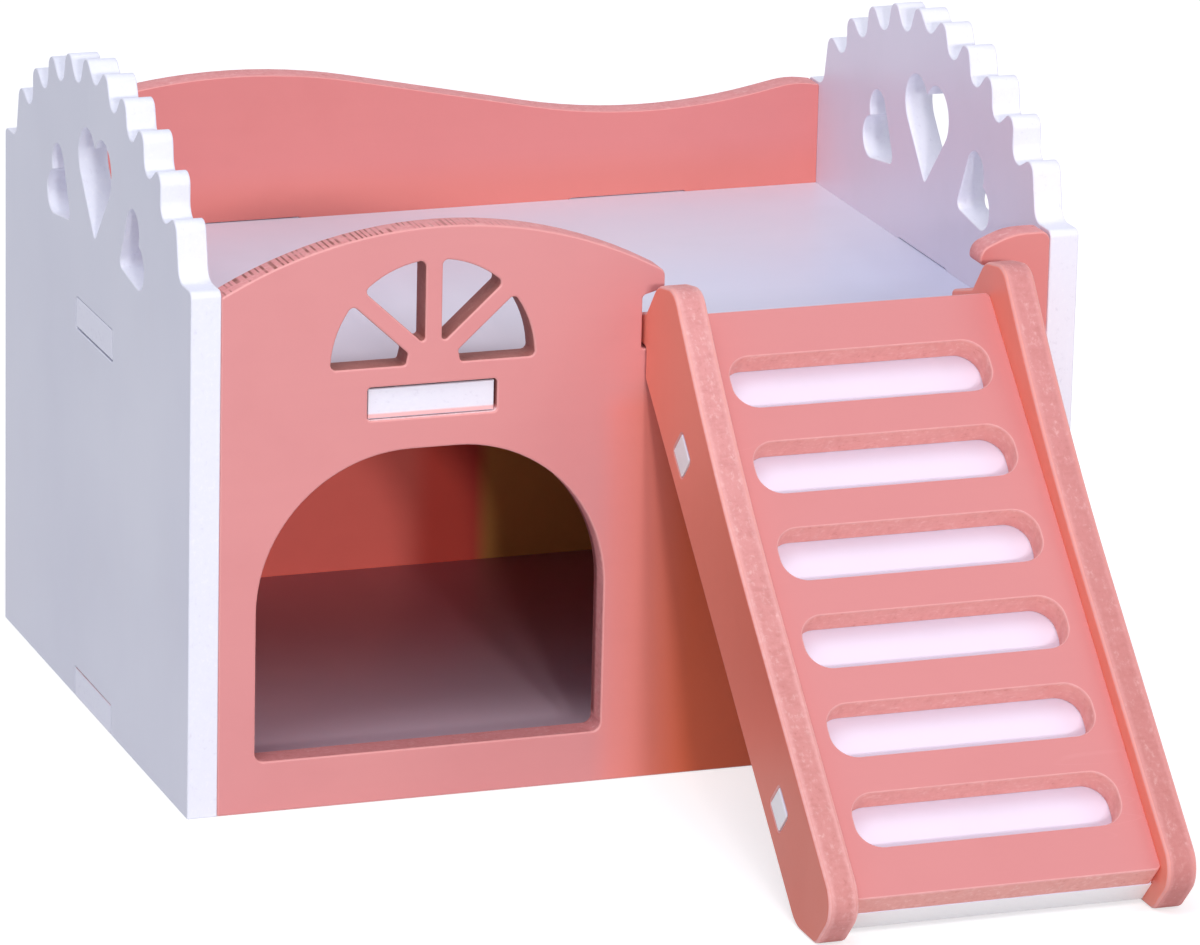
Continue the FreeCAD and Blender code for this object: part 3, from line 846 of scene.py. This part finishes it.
FRONT_PINK = replace(
    PINK_PAINT,
    title="pink paint, front",
    row=ChatterRow(start=-70.5 * MM, end=-18.0 * MM, above=84.5 * MM),
    patches=(
        # Painted shade: the outer face grows redder, then orange, towards the ladder and behind
        # it.
        Patch((1.10, 0.94, 0.875), x=(-5.5, 34.0), y=(-70.0, -52.0), z=(-20.0, 64.0),
              soft=(5.0, SHARP, 5.0)),
        Patch((0.99, 0.77, 0.58), x=(0.0, 36.0), y=FRONT_OUTSIDE, z=(-20.0, 68.0),
              soft=(12.0, SHARP, 12.0)),
        Patch((0.95, 0.69, 0.38), x=(5.8, 34.0), y=FRONT_OUTSIDE, z=(-20.0, 68.0),
              soft=(9.0, SHARP, 9.0)),
        # Painted shade on the post at the right.
        Patch(tint_from(PINK_PAINT.face, srgb(222, 134, 129)), x=(54.0, 90.0), y=(-70.0, -40.0),
              z=(70.0, 130.0), soft=(4.0, 4.0, 4.0)),
        # Painted shade on the inner face, under the deck.
        Patch(tint_from(PINK_PAINT.face, srgb(228, 98, 85)), x=ACROSS, y=FRONT_INSIDE, z=ROOM),
        # Painted light on the deck slot's sill, which is paler.
        Patch(tint_from(PINK_PAINT.cut, srgb(250, 214, 216)), x=(-80.0, 0.0),
              y=FRONT_THICKNESS, z=(60.0, 64.2), part=Part.CUT),
        # Painted shade on the walls of the slot and of the fan's openings.
        Patch(tint_from(PINK_PAINT.cut, srgb(170, 104, 98)), x=(-56.0, -14.0),
              y=FRONT_THICKNESS, z=(64.6, 91.0), part=Part.CUT),
        # Painted shade on the door's sill, and a deeper one on the inner part of its jambs.
        Patch(tint_from(PINK_PAINT.cut, srgb(208, 132, 134)), x=(-66.0, -4.0),
              y=FRONT_THICKNESS, z=(8.0, 10.0), part=Part.CUT),
        Patch(tint_from(PINK_PAINT.cut, srgb(138, 74, 76)), x=(-66.0, -4.0), y=(-51.0, -40.0),
              z=(10.5, 50.0), soft=(1.2, 1.2, 1.2), part=Part.CUT),
    ),
)

BACK_PINK = replace(
    PINK_PAINT,
    title="pink paint, back",
    rim_radius=0.2 * MM,
    patches=(
        # Painted shade on the room's side of the board: coral, then brown, then ochre towards the
        # right.
        Patch(tint_from(PINK_PAINT.face, srgb(236, 108, 96)), x=ACROSS, y=BACK_INSIDE, z=ROOM),
        Patch((0.97, 0.62, 0.55), x=(-2.0, 90.0), y=BACK_INSIDE, z=ROOM,
              soft=(6.0, SHARP, SHARP)),
        Patch((1.0, 4.0, 1.4), x=(9.5, 90.0), y=BACK_INSIDE, z=ROOM, soft=(4.0, SHARP, SHARP)),
        # Painted shade on the terrace's side, deeper just over the deck.
        Patch(tint_from(PINK_PAINT.face, srgb(224, 134, 130)), x=ACROSS, y=BACK_INSIDE,
              z=(66.0, 120.0)),
        Patch((1.0, 0.93, 0.85), x=(-90.0, 90.0), y=BACK_INSIDE, z=(66.0, 75.0),
              soft=(SHARP, SHARP, 8.0)),
    ),
)

# The ladder's pink: its rims are paler, a stronger painted highlight along the slots.
TREAD_PINK = replace(
    PINK_PAINT,
    title="pink paint, ladder",
    face=srgb(216, 137, 136),
    cloud=srgb(210, 131, 132),
    cut=srgb(238, 168, 160),
    fleck=srgb(250, 200, 194),
    pit=srgb(212, 132, 122),
    rim=srgb(246, 186, 182),
)

CORAL_PAINT = BoardFinish(
    title="coral paint",
    face=srgb(251, 147, 127),
    cloud=srgb(245, 139, 119),
    cut=srgb(222, 151, 149),
    fleck=srgb(242, 194, 192),
    pit=srgb(198, 122, 118),
    rim=srgb(240, 178, 175),
    smudge=srgb(214, 118, 106),
    rim_share=0.95,
    fleck_share=0.7,
    saw_share=0.4,
    rim_radius=0.6 * MM,
    band=1.0 * MM,
    patches=(
        # Painted shade: the left rail's faces and both rails' edges grow deeper towards the feet.
        Patch((0.75, 0.55, 0.48), x=(-10.0, 30.0), y=LADDER_END, z=LADDER_HEIGHT,
              soft=(SHARP, 60.0, SHARP)),
        Patch((0.90, 0.85, 0.82), x=(-10.0, 80.0), y=LADDER_END, z=LADDER_HEIGHT,
              soft=(SHARP, 60.0, SHARP), part=Part.CUT),
    ),
)

# Painted shade: the right rail's copy has darker cut edges, flecks and rims.
RIGHT_CORAL = replace(
    CORAL_PAINT,
    title="coral paint, right",
    cut=srgb(212, 138, 136),
    fleck=srgb(232, 178, 175),
    rim=srgb(230, 160, 157),
)

WHITE_COAT = BoardFinish(
    title="white coat",
    face=srgb(224, 223, 237),
    cloud=srgb(219, 218, 234),
    cut=srgb(240, 239, 250),
    fleck=srgb(244, 244, 252),
    pit=srgb(222, 220, 234),
    rim=srgb(241, 240, 250),
    smudge=srgb(214, 210, 220),
    face_roughness=0.36,
    cut_roughness=0.55,
    fibre_depth=0.02 * MM,
    rim_radius=0.2 * MM,
    saw_share=0.0,
)

# Painted shade: the left side panel's copy of the white coat is darker.
LEFT_COAT = replace(
    WHITE_COAT,
    title="white coat, left",
    face=srgb(217, 217, 230),
    cloud=srgb(212, 212, 227),
    cut=srgb(236, 237, 249),
)

# Painted light: the right side panel's copy is lighter and pinker, painted pink bounce light from
# the walls.
RIGHT_COAT = replace(
    WHITE_COAT,
    title="white coat, right",
    face=srgb(233, 226, 241),
    cloud=srgb(228, 221, 238),
)

DECK_COAT = replace(
    WHITE_COAT,
    title="white coat, deck",
    patches=(
        # Painted shade: the deck is deeper towards the front wall, more so at the left, and a
        # little darker and bluer at the right.
        Patch((0.62, 0.56, 0.58), x=(-120.0, 0.0), y=(-120.0, -27.0), z=DECK_HEIGHT,
              soft=(48.0, 48.0, SHARP)),
        Patch((0.91, 0.94, 1.01), x=(15.0, 140.0), y=(-120.0, 5.0), z=DECK_HEIGHT,
              soft=(40.0, 40.0, SHARP)),
        # Painted light on the underside of the tab in the front wall: the pale pink of the slot's
        # lit lower lip.
        Patch(tint_from(WHITE_COAT.cut, srgb(246, 192, 192)), x=(-80.0, 0.0), y=(-60.0, -53.0),
              z=(60.0, 64.6), part=Part.CUT),
    ),
)

# Painted light: the ladder's white board is lighter, its cut edges as white as can be.
BACKING_COAT = replace(
    WHITE_COAT,
    title="white coat, ladder",
    face=srgb(236, 230, 248),
    cloud=srgb(232, 226, 246),
    cut=srgb(254, 254, 255),
    fleck=srgb(255, 255, 255),
    pit=srgb(246, 246, 250),
)

# The floor board's white is tinted pink: painted pink bounce light from the walls inside the
# house.
FLOOR_FACE = srgb(234, 210, 226)
FLOOR_COAT = replace(
    WHITE_COAT,
    title="white coat, floor",
    face=FLOOR_FACE,
    cloud=srgb(228, 202, 220),
    patches=(
        # Painted shade: the floor board is deeper and redder towards the back.
        Patch(tint_from(FLOOR_FACE, srgb(178, 105, 115)), x=(-200.0, 200.0), y=(-12.0, 250.0),
              z=(-200.0, 200.0), soft=(SHARP, 80.0, SHARP)),
    ),
)


@dataclass
class SubAssembly:
    """A group of boards that moves as one body.

    Attributes:
        nodes: Every board of the frame, by name.
        body: The body that the boards belong to.
        weld_gap: Corners of neighbouring triangles closer than this are one corner.
        flat_angle: Triangles that differ by less are one flat face.
        edge_angle: Edges sharper than this are sanded.
        rim_segments: Steps round a rim.
        facet_corners: Flat faces with at least as many corners are cut into triangles.
        finishes: Finish, facing and material slot of each board, by its name.
    """

    nodes: dict[str, bpy.types.Object]
    body: str = ""
    weld_gap: float = 0.01 * MM
    flat_angle: float = math.radians(0.4)
    edge_angle: float = math.radians(40.0)
    rim_segments: int = 3
    facet_corners: int = 5
    finishes: dict[str, tuple[BoardFinish, Facing, str]] = field(default_factory=dict)

    def soften(self, board: bpy.types.Object, rim_radius: float) -> None:
        """Sands the rims of one board, which keeps its faces and outline.

        Args:
            board: The board's object.
            rim_radius: How far the rims are sanded round.
        """
        weld = board.modifiers.new("one skin", "WELD")
        weld.merge_threshold = self.weld_gap
        flats = board.modifiers.new("flat faces", "DECIMATE")
        flats.decimate_type = "DISSOLVE"
        flats.angle_limit = self.flat_angle
        rims = board.modifiers.new("sanded rims", "BEVEL")
        rims.width = rim_radius
        rims.segments = self.rim_segments
        rims.limit_method = "ANGLE"
        rims.angle_limit = self.edge_angle
        rims.use_clamp_overlap = False
        rims.loop_slide = False
        rims.harden_normals = True
        rims.miter_outer = "MITER_ARC"
        facets = board.modifiers.new("even facets", "TRIANGULATE")
        facets.ngon_method = "BEAUTY"
        facets.min_vertices = self.facet_corners

    def dress(self) -> None:
        """Sands and paints every board of the sub-assembly."""
        for name, (finish, facing, slot) in self.finishes.items():
            board = self.nodes[name]
            low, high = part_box(name)
            middle = float(np.dot(np.add(low, high) / 2, facing.across))
            self.soften(board, finish.rim_radius)
            board.data.materials.clear()
            board.data.materials.append(finish.material(facing, middle))
            size = ", ".join(f"{side / MM:.1f}" for side in high - low)
            LOG.info("%s: %s mm, %s, rides on %s", name, size, finish.title, self.body)


@dataclass
class House(SubAssembly):
    """The box of six boards with its terrace."""

    body: str = "house"

    def __post_init__(self) -> None:
        """Gives each board of the house its finish."""
        self.finishes = {
            "left_side_panel": (LEFT_COAT, Facing.SIDE, "white_board"),
            "right_side_panel": (RIGHT_COAT, Facing.SIDE, "white_board"),
            "front_panel": (FRONT_PINK, Facing.WALL, "pink_paint"),
            "back_panel": (BACK_PINK, Facing.WALL, "pink_paint"),
            "terrace_deck": (DECK_COAT, Facing.LEVEL, "white_board"),
            "floor_board": (FLOOR_COAT, Facing.LEVEL, "white_board"),
        }


@dataclass
class Ladder(SubAssembly):
    """The slotted ladder that hooks over the front panel."""

    body: str = "ladder"

    def __post_init__(self) -> None:
        """Gives each board of the ladder its finish."""
        self.finishes = {
            "ladder_left_rail": (CORAL_PAINT, Facing.SIDE, "pink_paint"),
            "ladder_right_rail": (RIGHT_CORAL, Facing.SIDE, "pink_paint"),
            "ladder_tread_board": (TREAD_PINK, Facing.SLOPE, "pink_paint"),
            "ladder_backing_board": (BACKING_COAT, Facing.SLOPE, "white_board"),
        }


@dataclass
class StudioFloor:
    """Plain pale floor that carries the house and its shadow.

    Attributes:
        radius: From the middle to the floor's edge.
        rings: Rings of the grid.
        spokes: Spokes of the grid.
        drop: How far the floor is below the plane that the house stands on.
        colour: The floor's own colour.
        grain: Grain of the floor's paper.
        cover: Ramp of that grain.
        shade: Part of its colour that the floor keeps in the grain.
        lift: White that is added to the lit floor where it is seen.
    """

    radius: float = 6.0
    rings: int = 24
    spokes: int = 96
    drop: float = 0.02 * MM
    colour: Colour = (0.62, 0.62, 0.625)
    grain: Grain = Grain(900.0, 3.0)
    cover: Ramp = Ramp(0.3, 0.7)
    shade: float = 0.985
    lift: float = 0.60

    def build(self) -> bpy.types.Object:
        """Builds the disc.

        A point is the middle plus a ring's radius times the direction of a spoke. The radius
        grows with the square of the ring's number, so the rings are closest under the house.

        Returns:
            The floor's object.
        """
        ring = np.linspace(0.0, 1.0, self.rings + 1)[1:] ** 2 * self.radius
        turn = np.linspace(0.0, 2 * np.pi, self.spokes, endpoint=False)
        r, t = np.meshgrid(ring, turn, indexing="ij")
        rim = np.stack([r * np.cos(t), r * np.sin(t), np.full_like(r, -self.drop)], axis=-1)
        points = np.vstack([[(0.0, 0.0, -self.drop)], rim.reshape(-1, 3)])
        first = 1 + np.arange(self.spokes)
        fan = np.stack([np.zeros_like(first), first, np.roll(first, -1)], axis=-1)
        inner = 1 + np.arange((self.rings - 1) * self.spokes).reshape(-1, self.spokes)
        outer = inner + self.spokes
        quads = np.stack([inner, outer, np.roll(outer, -1, axis=1), np.roll(inner, -1, axis=1)],
                         axis=-1)
        mesh = bpy.data.meshes.new("studio_floor")
        mesh.from_pydata(points.tolist(), [], fan.tolist() + quads.reshape(-1, 4).tolist())
        mesh.validate()
        mesh.materials.append(self.material())
        floor = bpy.data.objects.new("studio_floor", mesh)
        bpy.context.scene.collection.objects.link(floor)
        LOG.info("studio_floor: %d points", len(points))
        return floor

    def material(self) -> bpy.types.Material:
        """Paints the floor matt, and lifts it towards white where it is seen.

        Returns:
            The floor's material.
        """
        made = bpy.data.materials.new("studio floor")
        wiring = empty_tree(made)
        paper = wiring.noise(wiring.add("TexCoord").outputs["Object"], self.grain)
        shaded = tuple(self.shade * c for c in self.colour)
        colour = wiring.mix(wiring.spread(paper, self.cover), self.colour, shaded)
        lift = wiring.times(seen_ray(wiring), self.lift)
        matt = wiring.add("BsdfDiffuse", {"Color": colour})
        glow = wiring.add("Emission", {"Color": WHITE, "Strength": lift})
        both = wiring.add("AddShader", {0: matt.outputs["BSDF"], 1: glow.outputs["Emission"]})
        wiring.add("OutputMaterial", {"Surface": both.outputs["Shader"]})
        return made


def seen_ray(wiring: Wiring) -> Socket:
    """Tells rays that show the background, also in gloss or glass, from those that light.

    Args:
        wiring: Tree of the floor or the world.

    Returns:
        A socket that is 1 for camera, glossy and transmitted rays and 0 for others.
    """
    path = wiring.add("LightPath")
    shown = wiring.maths("MAXIMUM", path.outputs["Is Camera Ray"], path.outputs["Is Glossy Ray"])
    return wiring.maths("MAXIMUM", shown, path.outputs["Is Transmission Ray"])


@dataclass
class SoftLamp:
    """A round soft lamp that looks at the house.

    Attributes:
        title: The lamp's name.
        azimuth: Degrees round the house from straight in front, towards its right.
        elevation: Degrees above the floor.
        level: Brightness of a white sheet that squarely faces the lamp.
        colour: The light's colour.
        distance: From the house to the lamp.
        size: The lamp's diameter.
        aim: Point that the lamp looks at.
    """

    title: str
    azimuth: float
    elevation: float
    level: float
    colour: Colour = WHITE
    distance: float = 3.0
    size: float = 0.3
    aim: Point = (0.0, -0.03, 0.045)

    def build(self) -> bpy.types.Object:
        """Places the lamp.

        A disc of P watts lights a facing sheet at a distance d to P / (pi squared d squared).

        Returns:
            The lamp's object.
        """
        a, e = math.radians(self.azimuth), math.radians(self.elevation)
        back = Vector((math.sin(a) * math.cos(e), -math.cos(a) * math.cos(e), math.sin(e)))
        light = bpy.data.lights.new(self.title, "AREA")
        light.shape = "DISK"
        light.size = self.size
        light.color = self.colour
        light.energy = self.level * math.pi ** 2 * self.distance ** 2
        lamp = bpy.data.objects.new(self.title, light)
        lamp.location = Vector(self.aim) + back * self.distance
        lamp.rotation_euler = (-back).to_track_quat("-Z", "Y").to_euler()
        bpy.context.scene.collection.objects.link(lamp)
        LOG.info("%s: level %.2f", self.title, self.level)
        return lamp


@dataclass
class SoftSky:
    """Even light from all round, which shows as white.

    Attributes:
        colour: The light's colour and level.
    """

    colour: Colour = (0.435, 0.455, 0.525)

    def build(self) -> bpy.types.World:
        """Makes the world.

        Returns:
            The world.
        """
        world = bpy.data.worlds.new("soft sky")
        wiring = empty_tree(world)
        colour = wiring.mix(seen_ray(wiring), self.colour, WHITE)
        sky = wiring.add("Background", {"Color": colour, "Strength": 1.0})
        wiring.add("OutputWorld", {"Surface": sky.outputs["Background"]})
        bpy.context.scene.world = world
        LOG.info("soft sky")
        return world


@dataclass
class Viewpoint:
    """Where the eye stands, and how it looks at the house.

    Attributes:
        place: The eye's place.
        yaw: Turn from straight ahead towards the right.
        pitch: Downward tilt.
        roll: Turn about the line of sight.
        lens: Focal length in millimetres.
        sensor: Sensor width in millimetres.
        nearest: Nearest distance that shows.
        farthest: Farthest distance that shows.
    """

    place: Point = (-0.408525, -1.157971, 0.406488)
    yaw: float = 0.3492504
    pitch: float = 0.2929704
    roll: float = 0.0237131
    lens: float = 230.3376
    sensor: float = 36.0
    nearest: float = 0.05
    farthest: float = 50.0

    def build(self) -> bpy.types.Object:
        """Places the camera.

        Its columns are the right and up directions turned by the roll, and the way back.

        Returns:
            The camera's object.
        """
        ahead = Vector((math.sin(self.yaw) * math.cos(self.pitch),
                        math.cos(self.yaw) * math.cos(self.pitch),
                        -math.sin(self.pitch)))
        level = Vector((math.cos(self.yaw), -math.sin(self.yaw), 0.0))
        upright = level.cross(ahead)
        right = level * math.cos(self.roll) + upright * math.sin(self.roll)
        up = upright * math.cos(self.roll) - level * math.sin(self.roll)
        turned = Matrix((right, up, -ahead)).transposed().to_4x4()
        data = bpy.data.cameras.new("camera")
        data.lens = self.lens
        data.sensor_width = self.sensor
        data.clip_start = self.nearest
        data.clip_end = self.farthest
        camera = bpy.data.objects.new("camera", data)
        camera.matrix_world = Matrix.Translation(self.place) @ turned
        bpy.context.scene.collection.objects.link(camera)
        bpy.context.scene.camera = camera
        LOG.info("camera: lens %.1f mm", self.lens)
        return camera


def build_studio() -> None:
    """Builds the floor, the lamps, the sky and the camera."""
    StudioFloor().build()
    for lamp in (
        SoftLamp("front lamp", azimuth=-1.0, elevation=14.0, level=0.205,
                 colour=WARM_WHITE, size=0.22),
        SoftLamp("front left lamp", azimuth=-9.0, elevation=14.0, level=0.205,
                 colour=WARM_WHITE, size=0.22),
        SoftLamp("overhead lamp", azimuth=-40.0, elevation=65.0, level=0.36, size=1.6),
        SoftLamp("right lamp", azimuth=55.0, elevation=35.0, level=0.08,
                 colour=WARM_WHITE, size=1.6),
    ):
        lamp.build()
    SoftSky().build()
    Viewpoint().build()
    bpy.context.scene.view_settings.view_transform = "Standard"


def main() -> None:
    """Builds the studio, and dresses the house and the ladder."""
    logging.basicConfig(level=logging.INFO, format="%(name)s: %(message)s")
    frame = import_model()
    build_studio()
    for assembly in (House(nodes=frame["nodes"]), Ladder(nodes=frame["nodes"])):
        assembly.dress()


if __name__ == "__main__":
    main()
